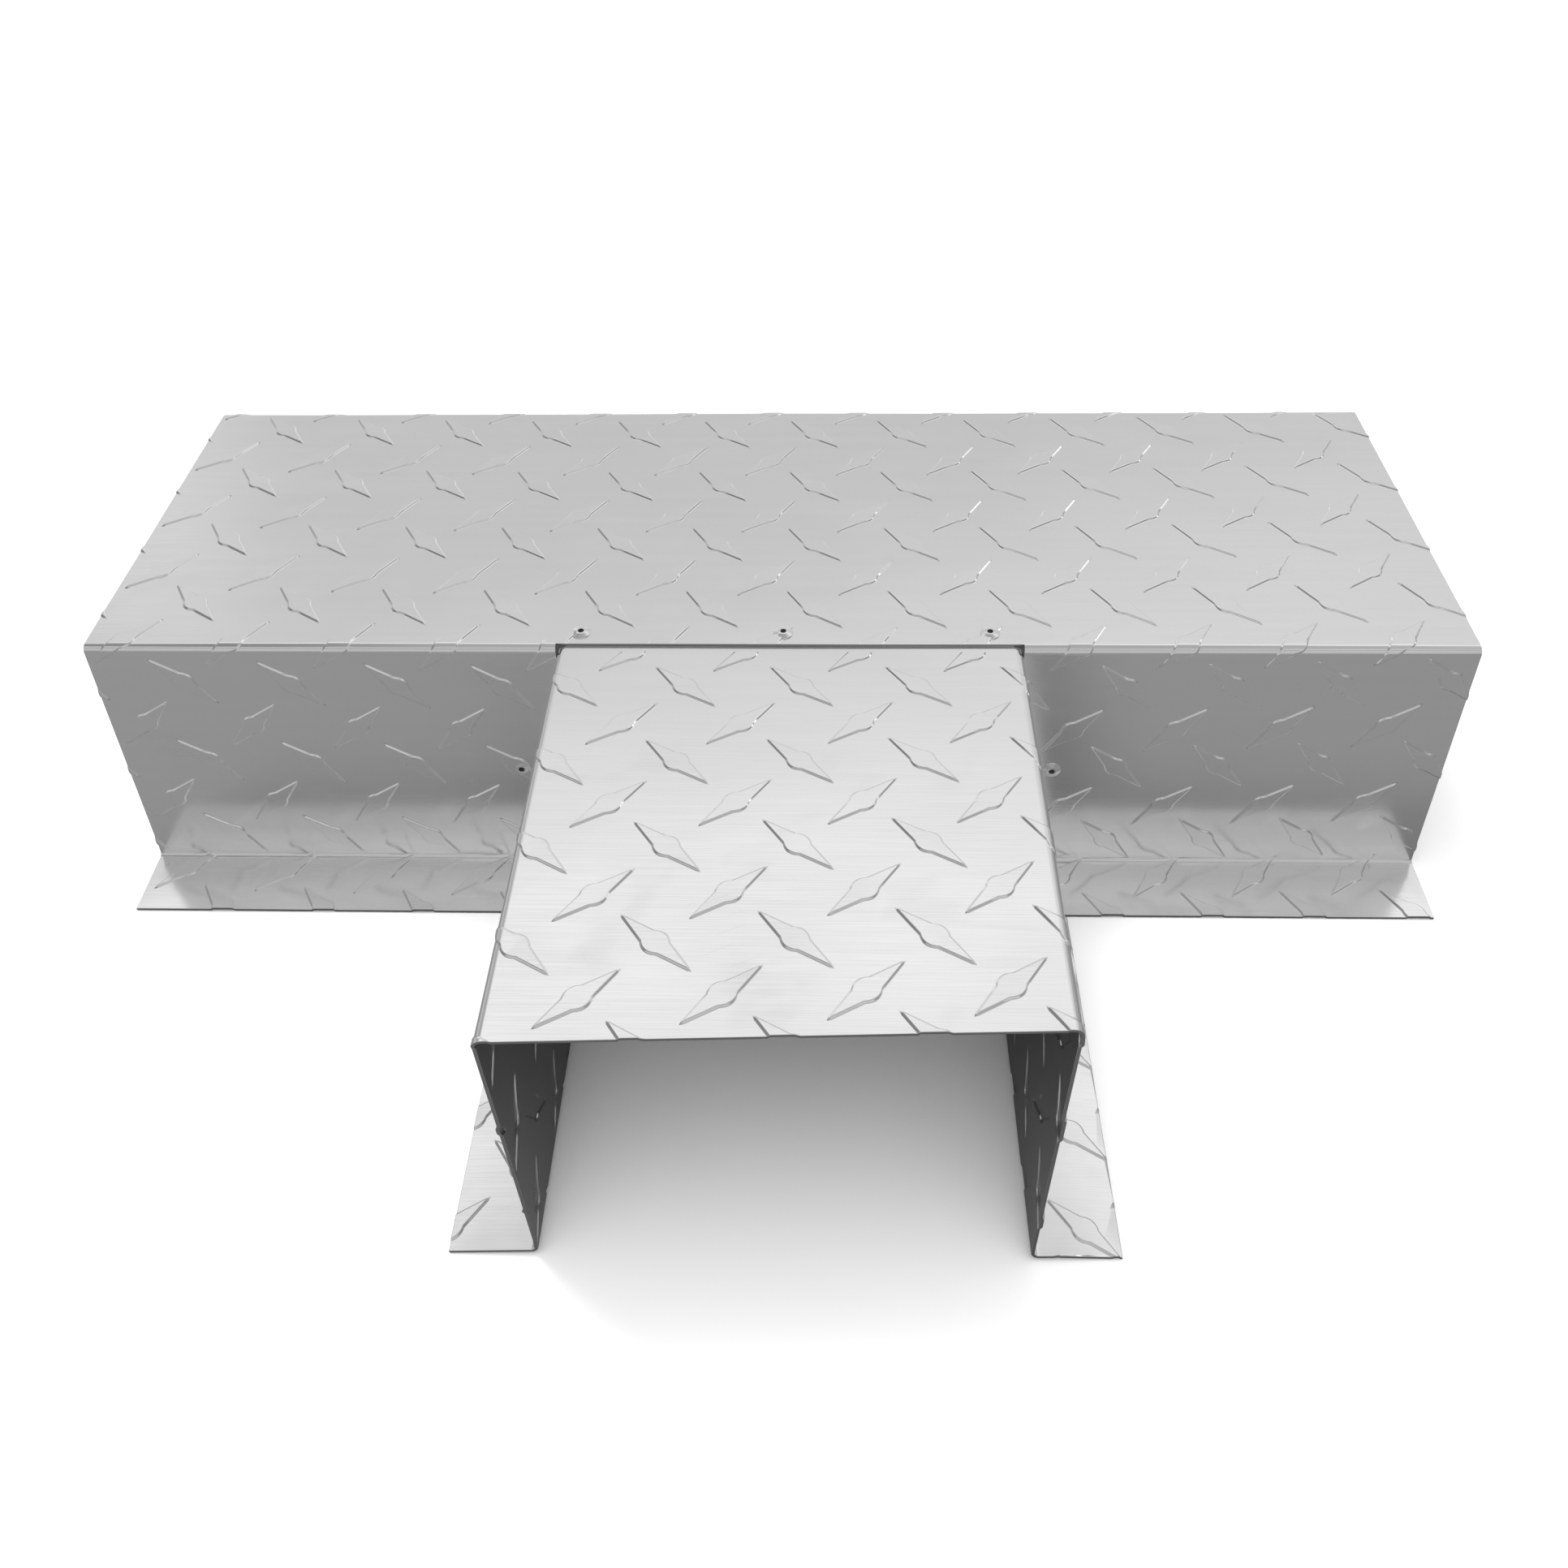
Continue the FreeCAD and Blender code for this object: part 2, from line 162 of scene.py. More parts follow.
class Section:
    """The show face of a folded sheet, seen end on: straight runs joined by round bends.
    Its one coordinate is the length along the flat sheet."""

    def __init__(self, corners):
        corners = [Vector(c) for c in corners]
        self.parts = []           # (length so far, length, place, direction, turn, radius)
        self.folds = []           # flat coordinates of the facets' edges
        so_far, trimmed = 0.0, 0.0
        for k in range(1, len(corners)):
            run = corners[k] - corners[k - 1]
            direction = run.normalized()
            turn = radius = tangent = 0.0
            if k < len(corners) - 1:
                after = (corners[k + 1] - corners[k]).normalized()
                turn = math.atan2(direction.cross(after), direction.dot(after))
                radius = BEND_INSIDE if turn > 0 else BEND_OUTSIDE
                tangent = radius * math.tan(abs(turn) / 2)
            length = run.length - trimmed - tangent
            place = corners[k - 1] + direction * trimmed
            self.parts.append((so_far, length, place, direction, 0.0, 0.0))
            so_far += length
            if turn:
                neutral = radius + (NEUTRAL_DEPTH if turn > 0 else -NEUTRAL_DEPTH)
                bend = abs(turn) * neutral
                place = corners[k] - direction * tangent
                self.parts.append((so_far, bend, place, direction, turn, radius))
                self.folds += [so_far + bend * step / FOLD_STEPS for step in range(FOLD_STEPS + 1)]
                so_far += bend
            trimmed = tangent
        self.length = so_far

    def at(self, along):
        """Place on the show face and outward normal at each flat coordinate."""
        place, normal = np.zeros((len(along), 2)), np.zeros((len(along), 2))
        starts = np.array([part[0] for part in self.parts])
        which = np.clip(np.searchsorted(starts, along, "right") - 1, 0, None)
        for index, (start, length, origin, direction, turn, radius) in enumerate(self.parts):
            mine = which == index
            step = along[mine] - start
            ahead, left = np.array(direction), np.array((-direction.y, direction.x))
            if not turn:
                place[mine], normal[mine] = np.array(origin) + step[:, None] * ahead, left
                continue
            angle = (step / length * turn)[:, None]
            side = math.copysign(radius, turn)
            normal[mine] = left * np.cos(angle) - ahead * np.sin(angle)
            place[mine] = np.array(origin) + side * (left - normal[mine])
        return place, normal

    def coordinate(self, axis, value, low, high, samples=4001):
        """Flat coordinate between low and high where the show face reaches a value of one axis."""
        along = np.linspace(low, high, samples)
        reached = self.at(along)[0][:, axis]
        return float(along[np.argmin(np.abs(reached - value))])


def ripple(flat):
    """The slight unevenness of a hand-folded sheet, always outwards."""
    x, y = flat.T
    bent, across, along = SHORT_WAVES
    short = SHORT_RIPPLE * np.sin(x / bent + 2 * np.sin(y / across)) * np.sin(y / along + 1.3)
    slanting = LONG_RIPPLE * np.sin(x / LONG_WAVES[0] - y / LONG_WAVES[1])
    return SHORT_RIPPLE + LONG_RIPPLE + short + slanting


# ---------------------------------------------------------------- one sheet

def inset(loop, amount):
    """A counter-clockwise loop moved inwards by an amount; a clockwise hole grows."""
    loop = np.array(loop, float)
    before, after = loop - np.roll(loop, 1, 0), np.roll(loop, -1, 0) - loop
    normals = [np.stack([side[:, 1], -side[:, 0]], 1) / np.linalg.norm(side, axis=1)[:, None]
               for side in (before, after)]
    dot = (normals[0] * normals[1]).sum(1)[:, None]
    return loop - amount * (normals[0] + normals[1]) / (1 + dot)


def circle(centre, radius, steps=20):
    """A clockwise loop."""
    turn = -2 * math.pi * np.arange(steps) / steps
    return np.array(centre) + radius * np.stack([np.cos(turn), np.sin(turn)], 1)


def is_inside(points, loops):
    """Even-odd test against all the loops together."""
    crossings = np.zeros(len(points), int)
    for loop in loops:
        for start, end in zip(loop, np.roll(loop, -1, 0)):
            if start[1] == end[1]:
                continue
            spans = (points[:, 1] < start[1]) != (points[:, 1] < end[1])
            reach = start[0] + (points[:, 1] - start[1]) * (end[0] - start[0]) / (end[1] - start[1])
            crossings += spans & (points[:, 0] < reach)
    return crossings % 2 == 1


def triangulate(loops, lines, lugs):
    """Points and triangles of the flat sheet, with the lugs' rings and the fold lines as edges."""
    points, edges = [], []

    def add(chain, closed):
        first = len(points)
        points.extend(map(Vector, chain))
        edges.extend((k, k + 1) for k in range(first, len(points) - 1))
        if closed:
            edges.append((len(points) - 1, first))

    for loop in loops + lugs.loops():
        add(loop.tolist(), True)
    for line in lines:
        add(line, False)
    outline = np.vstack(loops)
    low, high = outline.min(0), outline.max(0)
    stops = [np.arange(a + GRID_STEP / 2, b, GRID_STEP) for a, b in zip(low, high)]
    grid = np.stack(np.meshgrid(*stops), -1).reshape(-1, 2)
    grid = grid[lugs.rim_distance(grid) < -GRID_STEP / 4]
    points.extend(map(Vector, grid.tolist()))
    made, _, faces, *_ = geometry.delaunay_2d_cdt(points, edges, [], 0, MERGE, False)
    flat, faces = np.array(made), np.array(faces)
    faces = faces[is_inside(flat[faces].mean(1), loops)]
    corners = flat[faces]
    first, second = corners[:, 1] - corners[:, 0], corners[:, 2] - corners[:, 0]
    area = first[:, 0] * second[:, 1] - first[:, 1] * second[:, 0]
    faces = faces[np.abs(area) > LEAST_AREA]
    used, faces = np.unique(faces, return_inverse=True)
    return flat[used], faces.reshape(-1, 3)


def sheet_mesh(name, surface, relief, loops, lines, lugs):
    """A closed mesh of the folded, embossed sheet. relief(flat) gives the embossing's height, and
    surface(flat, lift) the places in 3-D at that height above the show face."""
    loops = [inset(loop, EDGE_ROUND) for loop in loops]
    flat, faces = triangulate(loops, lines, lugs)
    count = len(flat)

    # The sheet's edge is the sides that belong to one triangle only.
    sides = np.vstack([faces[:, [0, 1]], faces[:, [1, 2]], faces[:, [2, 0]]])
    _, index, times = np.unique(np.sort(sides, 1), axis=0, return_inverse=True, return_counts=True)
    rim = sides[times[index.ravel()] == 1]
    step = flat[rim[:, 1]] - flat[rim[:, 0]]
    out = np.stack([step[:, 1], -step[:, 0]], 1) / np.linalg.norm(step, axis=1)[:, None]
    outward = np.zeros_like(flat)
    np.add.at(outward, rim.ravel(), np.repeat(out, 2, 0))
    edge_points = np.unique(rim)
    outward = outward[edge_points]
    outward /= np.maximum((outward ** 2).sum(1), 1.0)[:, None] / 2   # a mitre
    edge_rank = np.zeros(count, int)
    edge_rank[edge_points] = np.arange(len(edge_points))

    pushed = flat[edge_points] + outward * EDGE_ROUND
    height, edge_height = relief(flat), relief(pushed)
    places = np.vstack([surface(flat, height), surface(flat, height - SHEET),
                        surface(pushed, edge_height - EDGE_ROUND),
                        surface(pushed, edge_height - SHEET + EDGE_ROUND)])
    upper, lower = 2 * count, 2 * count + len(edge_points)
    a, b = rim[:, 0], rim[:, 1]
    ra, rb = edge_rank[a], edge_rank[b]
    bands = [np.stack([b, a, upper + ra, upper + rb], 1),
             np.stack([upper + rb, upper + ra, lower + ra, lower + rb], 1),
             np.stack([lower + rb, lower + ra, count + a, count + b], 1)]

    mesh = bpy.data.meshes.new(name)
    mesh.from_pydata((places * MM).tolist(), [],
                     faces.tolist() + (faces[:, ::-1] + count).tolist()
                     + [quad for band in bands for quad in band.tolist()])
    mesh.update()

    # Smooth normals from the surface itself on the two faces, and each quad's own on the edge.
    # At a lug's foot and at its brim the slope is nothing, whichever side the nudge falls on.
    normals = np.zeros((len(mesh.loops), 3), np.float32)
    rim_distance = lugs.rim_distance(flat)
    sloping = (rim_distance > NUDGE) & (rim_distance < LUG_RIM - NUDGE)
    nudges = [np.array(step) for step in ((NUDGE, 0.0), (0.0, NUDGE))]
    nudged = [[np.where(sloping, relief(flat + step * sign), height) for sign in (1, -1)]
              for step in nudges]
    owners = np.empty(len(mesh.loops), np.int32)
    mesh.loops.foreach_get("vertex_index", owners)
    of_face = len(faces) * 3
    for depth, sign, loops_of in ((0.0, 1, slice(0, of_face)), (SHEET, -1, slice(of_face, 2 * of_face))):
        along, across = (surface(flat + step, ahead - depth) - surface(flat - step, behind - depth)
                         for step, (ahead, behind) in zip(nudges, nudged))
        face_normal = sign * np.cross(along, across)
        face_normal /= np.linalg.norm(face_normal, axis=1)[:, None]
        normals[loops_of] = face_normal[owners[loops_of] % count]
    own = np.array([polygon.normal[:] for polygon in mesh.polygons[2 * len(faces):]])
    normals[2 * of_face:] = np.repeat(own, 4, 0)
    mesh.shade_smooth()
    mesh.normals_split_custom_set(normals.tolist())

    laid_out = mesh.uv_layers.new(name="laid_out")
    unfolded = np.vstack([flat, flat, pushed, pushed]) * MM
    laid_out.uv.foreach_set("vector", unfolded[owners].astype(np.float32).ravel())
    raised = np.concatenate([height, height, edge_height, edge_height]) / LUG_HEIGHT
    cut = np.repeat([0.0, 1.0], [2 * count, 2 * len(edge_points)])
    for label, values in (("raised", raised), ("cut", cut)):
        attribute = mesh.attributes.new(label, "FLOAT", "POINT")
        attribute.data.foreach_set("value", values.astype(np.float32))
    return mesh


def add_piece(name, mesh, body, node, material):
    piece = bpy.data.objects.new(name, mesh)
    bpy.context.scene.collection.objects.link(piece)
    mesh.materials.append(material)
    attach(piece, body)
    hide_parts(node)


# ---------------------------------------------------------------- places from the frame

def box_mm(node):
    low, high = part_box(node)
    return low / MM, high / MM


def middle_mm(node):
    low, high = box_mm(node)
    return (low + high) / 2


main_low, main_high = box_mm("main_cover")
stem_low, stem_high = box_mm("stem_cover")
half_length = main_high[0]
front = main_low[1] + FLANGE
back = main_high[1] - FLANGE
top = main_high[2]
stem_mid = (stem_low[0] + stem_high[0]) / 2
stem_top = stem_high[2]
stem_half = STEM_WIDTH / 2
wall_end = front + WALL_END
top_rivets = [middle_mm(f"top_{side}_rivet") for side in ("left", "middle", "right")]
wall_rivets = [middle_mm(f"wall_{side}_rivet") for side in ("left", "right")]


def stem_half_at(height):
    """Half the stem's width at a height, between its leaning walls' show faces."""
    return stem_half - (stem_top - height) * math.tan(STEM_LEAN)


# ---------------------------------------------------------------- main cover

main_section = Section([(main_low[1], SHEET), (front, SHEET), (front, top), (back, top), (back, SHEET),
                        (main_high[1], SHEET)])
# Flat coordinate where the top's plane meets the front wall.
main_front_corner = main_section.parts[4][0] - BEND_OUTSIDE

MAIN_COLUMNS, MAIN_ROWS = range(-2, 15), range(-5, 9)
MAIN_PITCH = (35.141, 36.713)          # from lug to lug along a row, and from row to row
MAIN_DRIFT = (0.222, -0.043)           # how much a column leans, and a row
MAIN_LUG_ANGLE = math.radians(45.5)
MAIN_FALLING = (-198.162, -134.558)    # lug 0, 0, from the middle and down from the front corner
MAIN_RISING = (-215.105, -151.840)
MAIN_BOW = (4.292, 0.00754)            # of the rows: at the front corner, and less for each mm down
MAIN_SHIFT = (4.034, 2.711)            # of the lugs along the plate: odd and even about its middle


def main_lugs():
    """Rows of lugs that fall to the right and rows that rise, bowed a little along the plate."""
    centres, angles = [], []
    for (across, down), angle in ((MAIN_FALLING, -MAIN_LUG_ANGLE), (MAIN_RISING, MAIN_LUG_ANGLE)):
        for i in MAIN_COLUMNS:
            for j in MAIN_ROWS:
                x = across + i * MAIN_PITCH[0] + j * MAIN_DRIFT[0]
                below = down + j * MAIN_PITCH[1] + i * MAIN_DRIFT[1]
                q = x / half_length
                below += (MAIN_BOW[0] - MAIN_BOW[1] * below) * (1 - q * q)
                x += MAIN_SHIFT[0] * (q ** 3 - q) - MAIN_SHIFT[1] * q * q
                centres.append((x, main_front_corner - below))
                angles.append(angle)
    lugs = Lugs(centres, np.array(angles))
    return lugs.inside((-half_length, 0), (half_length, main_section.length))


main_pattern = main_lugs()


def pressed(section, along):
    """How much of a lug's height is left where the sheet was folded."""
    apart = [np.maximum(start - along, along - start - length)
             for start, length, *_, radius in section.parts if radius]
    return 1 - FOLD_LOSS * smooth(1 - np.min(apart, 0) / FOLD_FADE)


def bulge(section, along):
    """The flanges are a little crowned."""
    from_end = np.minimum(along, section.length - along)
    return FLANGE_CROWN * np.sin(math.pi * np.clip(from_end / (FLANGE - BEND_INSIDE), 0, 1))


def main_relief(flat):
    """The lugs' height, pressed flat again along the notch's back edge."""
    behind_notch = (flat[:, 1] - main_front_corner - NOTCH_BACK) / CUT_FADE
    beside_notch = (np.abs(flat[:, 0] - stem_mid) - stem_half) / CUT_FADE
    fade = smooth(np.maximum(behind_notch, beside_notch))
    height = LUG_HEIGHT * pressed(main_section, flat[:, 1])
    return height * fade * smooth(main_pattern.rim_distance(flat) / LUG_RIM)


def main_surface(flat, lift):
    place, normal = main_section.at(flat[:, 1])
    folded = place + normal * (lift + ripple(flat) + bulge(main_section, flat[:, 1]))[:, None]
    return np.stack([flat[:, 0], folded[:, 0], folded[:, 1]], 1)


def notch_x(side, height):
    """The notch's side edge, which follows the stem's leaning wall."""
    return stem_mid + side * (stem_half_at(height) + NOTCH_GAP)


def main_outline():
    heel = main_section.parts[2][0]          # the front wall's flat starts
    shoulder = main_section.parts[3][0]      # and ends
    notch_end = main_section.coordinate(0, front + NOTCH_BACK, shoulder,
                                        main_front_corner + 2 * BEND_OUTSIDE)
    stops = [(0.0, SHEET), (heel, SHEET + BEND_INSIDE), (shoulder, top - BEND_OUTSIDE), (notch_end, top)]
    left = [(notch_x(-1, height), at) for at, height in stops]
    right = [(notch_x(1, height), at) for at, height in stops]
    return [(-half_length, 0.0), *left, *right[::-1], (half_length, 0.0),
            (half_length, main_section.length), (-half_length, main_section.length)]


def main_holes():
    holes = [(x, main_front_corner + y - front) for x, y, _ in top_rivets]
    holes += [(x, main_section.parts[2][0] + z - SHEET - BEND_INSIDE) for x, _, z in wall_rivets]
    return holes


def main_cover(material):
    loops = [main_outline()] + [circle(hole, HOLE_RADIUS) for hole in main_holes()]
    lines = [[(-half_length - 1, fold), (half_length + 1, fold)] for fold in main_section.folds]
    mesh = sheet_mesh("main_cover_plate", main_surface, main_relief, loops, lines, main_pattern)
    add_piece("main_cover_plate", mesh, "root", "main_cover", material)


# ---------------------------------------------------------------- stem cover

lean_in = Vector((math.sin(STEM_LEAN), math.cos(STEM_LEAN)))
wall_run = (stem_top - FLANGE * lean_in.x) / lean_in.y - SHEET
left_corner = Vector((stem_mid - stem_half, stem_top))
left_foot = left_corner + wall_run * Vector((lean_in.x, -lean_in.y))
left_toe = left_foot + FLANGE * Vector((-lean_in.y, -lean_in.x))


def mirrored(point):
    return (2 * stem_mid - point[0], point[1])


stem_section = Section([left_toe, left_foot, left_corner, mirrored(left_corner), mirrored(left_foot),
                        mirrored(left_toe)])
stem_centre = stem_section.length / 2

STEM_COLUMNS, STEM_ROWS = range(-5, 9), range(-2, 6)
STEM_PITCH = (36.905, 33.052)
STEM_DRIFT = (-0.130, 0.000325)        # how much a column leans, and the rows close up to the right
STEM_LUG_ANGLE = math.radians(42)
STEM_FALLING = (-64.551, 17.2)         # lug 0, 0: x, and distance in front of the main cover
STEM_RISING = (-45.943, 33.9)


def stem_lugs():
    centres, angles = [], []
    for (across, ahead), angle in ((STEM_FALLING, -STEM_LUG_ANGLE), (STEM_RISING, STEM_LUG_ANGLE)):
        for i in STEM_COLUMNS:
            for j in STEM_ROWS:
                x = across + i * STEM_PITCH[0] + j * STEM_DRIFT[0] - stem_mid
                distance = (ahead + j * STEM_PITCH[1]) * (1 - STEM_DRIFT[1] * x)
                centres.append((stem_centre + x, front - distance))
                angles.append(angle)
    lugs = Lugs(centres, np.array(angles))
    return lugs.inside((0, stem_low[1]), (stem_section.length, stem_high[1]))


stem_pattern = stem_lugs()
stem_starts = [part[0] for part in stem_section.parts] + [stem_section.length]
LEFT_WALL, RIGHT_WALL = 2, 6           # among the section's parts


def on_stem_wall(wall, height):
    """Flat coordinate of a height on one of the stem's walls."""
    return stem_section.coordinate(1, height, stem_starts[wall], stem_starts[wall + 1])


tab_spans = [(on_stem_wall(LEFT_WALL, SIDE_TAB_LOW), on_stem_wall(LEFT_WALL, SIDE_TAB_HIGH)),
             (on_stem_wall(RIGHT_WALL, SIDE_TAB_HIGH), on_stem_wall(RIGHT_WALL, SIDE_TAB_LOW))]
tab_bend_start = wall_end - SHEET - TAB_BEND_INSIDE
tab_bend_length = math.pi / 2 * (TAB_BEND_INSIDE + NEUTRAL_DEPTH)


def stem_relief(flat):
    """The lugs' height, pressed flat again where the stem goes into the main cover."""
    fade = smooth((front - STEM_FLAT - flat[:, 1]) / CUT_FADE)
    height = LUG_HEIGHT * pressed(stem_section, flat[:, 0])
    return height * fade * smooth(stem_pattern.rim_distance(flat) / LUG_RIM)


def stem_surface(flat, lift):
    along, forward = flat[:, 0], flat[:, 1]
    place, normal = stem_section.at(along)
    # The side tabs turn outwards where the wall meets the main cover.
    in_tab = np.any([(along > low - TAB_SLOT / 2) & (along < high + TAB_SLOT / 2)
                     for low, high in tab_spans], 0)
    past = np.where(in_tab, np.clip(forward - tab_bend_start, 0, None), 0.0)
    turn = np.clip(past / tab_bend_length, 0, 1) * math.pi / 2
    straight = np.clip(past - tab_bend_length, 0, None)
    radius = TAB_BEND_INSIDE - lift
    out = np.where(past > 0, TAB_BEND_INSIDE - radius * np.cos(turn) + straight, lift)
    y = np.where(past > 0, tab_bend_start + radius * np.sin(turn), forward)
    folded = place + normal * (out + ripple(flat) + bulge(stem_section, along))[:, None]
    return np.stack([folded[:, 0], y, folded[:, 1]], 1)


def stem_end(along):
    """Y of the open end: a slanting plane takes the top right corner off a square end."""
    (x, z), = stem_section.at(np.array([along]))[0]
    slant = (x - stem_mid) / STEM_WIDTH - 0.5 + z / stem_top
    return max(stem_low[1], front - STEM_LENGTH + STEM_SKEW * slant)


def stem_outline():
    stops = [stem_starts[0], stem_starts[2], *np.linspace(*stem_starts[3:5], END_STOPS),
             *np.linspace(*stem_starts[5:7], END_STOPS), stem_starts[7], stem_starts[9]]
    open_end = [(along, stem_end(along)) for along in stops]
    flange_end = front - FLANGE - FLANGE_GAP
    cut = [on_stem_wall(wall, FLANGE_RELIEF) for wall in (LEFT_WALL, RIGHT_WALL)]
    tab = TOP_TAB_WIDTH / 2

    def tab_reach(height):
        straight = stem_half + SIDE_TAB_REACH - stem_half_at(height) - TAB_BEND_INSIDE
        return tab_bend_start + tab_bend_length + straight

    low_y, high_y = tab_reach(SIDE_TAB_LOW), tab_reach(SIDE_TAB_HIGH)

    def side_tab(spans, ends):
        (a, b), (ya, yb) = spans, ends
        return [(a - TAB_SLOT, wall_end), (a - TAB_SLOT, tab_bend_start), (a, tab_bend_start), (a, ya),
                (b, yb), (b, tab_bend_start), (b + TAB_SLOT, tab_bend_start), (b + TAB_SLOT, wall_end)]

    back_edge = [(0.0, flange_end), (cut[0], flange_end), (cut[0], wall_end),
                 *side_tab(tab_spans[0], (low_y, high_y)),
                 (stem_centre - tab, wall_end), (stem_centre - tab, stem_high[1]),
                 (stem_centre + tab, stem_high[1]), (stem_centre + tab, wall_end),
                 *side_tab(tab_spans[1], (high_y, low_y)),
                 (cut[1], wall_end), (cut[1], flange_end), (stem_section.length, flange_end)]
    return open_end + back_edge[::-1]


def stem_holes():
    holes = [(stem_centre + x - stem_mid, y) for x, y, _ in top_rivets]
    for (x, _, z), wall in zip(wall_rivets, (LEFT_WALL, RIGHT_WALL)):
        out = abs(x - stem_mid) - stem_half_at(z) - TAB_BEND_INSIDE
        holes.append((on_stem_wall(wall, z), tab_bend_start + tab_bend_length + out))
    return holes


def stem_cover(material):
    loops = [stem_outline()] + [circle(hole, HOLE_RADIUS) for hole in stem_holes()]
    lines = [[(fold, stem_low[1] - 1), (fold, stem_high[1] + 1)] for fold in stem_section.folds]
    tab_folds = [tab_bend_start + tab_bend_length * k / TAB_FOLD_STEPS
                 for k in range(TAB_FOLD_STEPS + 1)]
    lines += [[(low, fold), (high, fold)] for low, high in tab_spans for fold in tab_folds]
    fade_steps = 3
    fades = [front - (STEM_FLAT + CUT_FADE) + CUT_FADE / fade_steps * k for k in range(fade_steps + 1)]
    lines += [[(0.0, fade), (stem_section.length, fade)] for fade in fades]
    mesh = sheet_mesh("stem_cover_plate", stem_surface, stem_relief, loops, lines, stem_pattern)
    add_piece("stem_cover_plate", mesh, "root", "stem_cover", material)


# ---------------------------------------------------------------- materials

class Graph:
    """Short names for the nodes of one node tree."""

    def __init__(self, tree):
        self.tree = tree

    def node(self, kind, inputs=(), **settings):
        made = self.tree.nodes.new(kind)
        for name, value in settings.items():
            setattr(made, name, value)
        for name, value in dict(inputs).items():
            if isinstance(value, bpy.types.NodeSocket):
                self.tree.links.new(value, made.inputs[name])
            else:
                made.inputs[name].default_value = value
        return made

    def link(self, value, node, name):
        self.tree.links.new(value, node.inputs[name])

    def math(self, operation, first, second):
        return self.node("ShaderNodeMath", {0: first, 1: second}, operation=operation).outputs[0]

    def step(self, value, low, high, at_low=0.0, at_high=1.0):
        """A smooth change from one number to another as a value passes from low to high."""
        limits = {"Value": value, "From Min": low, "From Max": high, "To Min": at_low, "To Max": at_high}
        return self.node("ShaderNodeMapRange", limits, interpolation_type="SMOOTHSTEP").outputs["Result"]

    def mix(self, factor, first, second):
        return self.node("ShaderNodeMix", {"Factor": factor, "A": first, "B": second}).outputs["Result"]

    def add_each(self, value, shares):
        """The value plus each factor times its amount."""
        for factor, amount in shares:
            value = self.math("ADD", value, self.math("MULTIPLY", factor, amount))
        return value

    def grey(self, value):
        inputs = {"Red": value, "Green": value, "Blue": value}
        return self.node("ShaderNodeCombineColor", inputs).outputs["Color"]

    def bump(self, height, strength, distance):
        inputs = {"Height": height, "Strength": strength, "Distance": distance}
        return self.node("ShaderNodeBump", inputs).outputs["Normal"]

    def ramp(self, value, stops):
        """Straight lines between (value, grey) stops, from -1 to 1."""
        spread = self.node("ShaderNodeMapRange", {"Value": value, "From Min": -1.0}).outputs["Result"]
        made = self.node("ShaderNodeValToRGB", {"Fac": spread})
        elements = made.color_ramp.elements
        while len(elements) < len(stops):
            elements.new(0.5)
        for element, (at, grey) in zip(elements, stops):
            element.position = (at + 1) / 2
            element.color = (grey, grey, grey, 1)
        return made.outputs["Color"]


def new_metal(name):
    """A metal material, its shader and its graph."""
    material = bpy.data.materials.new(name)
    material.use_nodes = True
    shader = material.node_tree.nodes["Principled BSDF"]
    shader.inputs["Metallic"].default_value = 1.0
    return material, shader, Graph(material.node_tree)


def noise(graph, place, size, detail=3.0, turn=0.0):
    """Noise whose features have a size in metres along each axis."""
    inputs = {"Vector": place, "Scale": size, "Rotation": (0.0, 0.0, turn)}
    mapped = graph.node("ShaderNodeMapping", inputs, vector_type="TEXTURE").outputs[0]
    inputs = {"Vector": mapped, "Scale": 1.0, "Detail": detail}
    return graph.node("ShaderNodeTexNoise", inputs).outputs["Fac"]


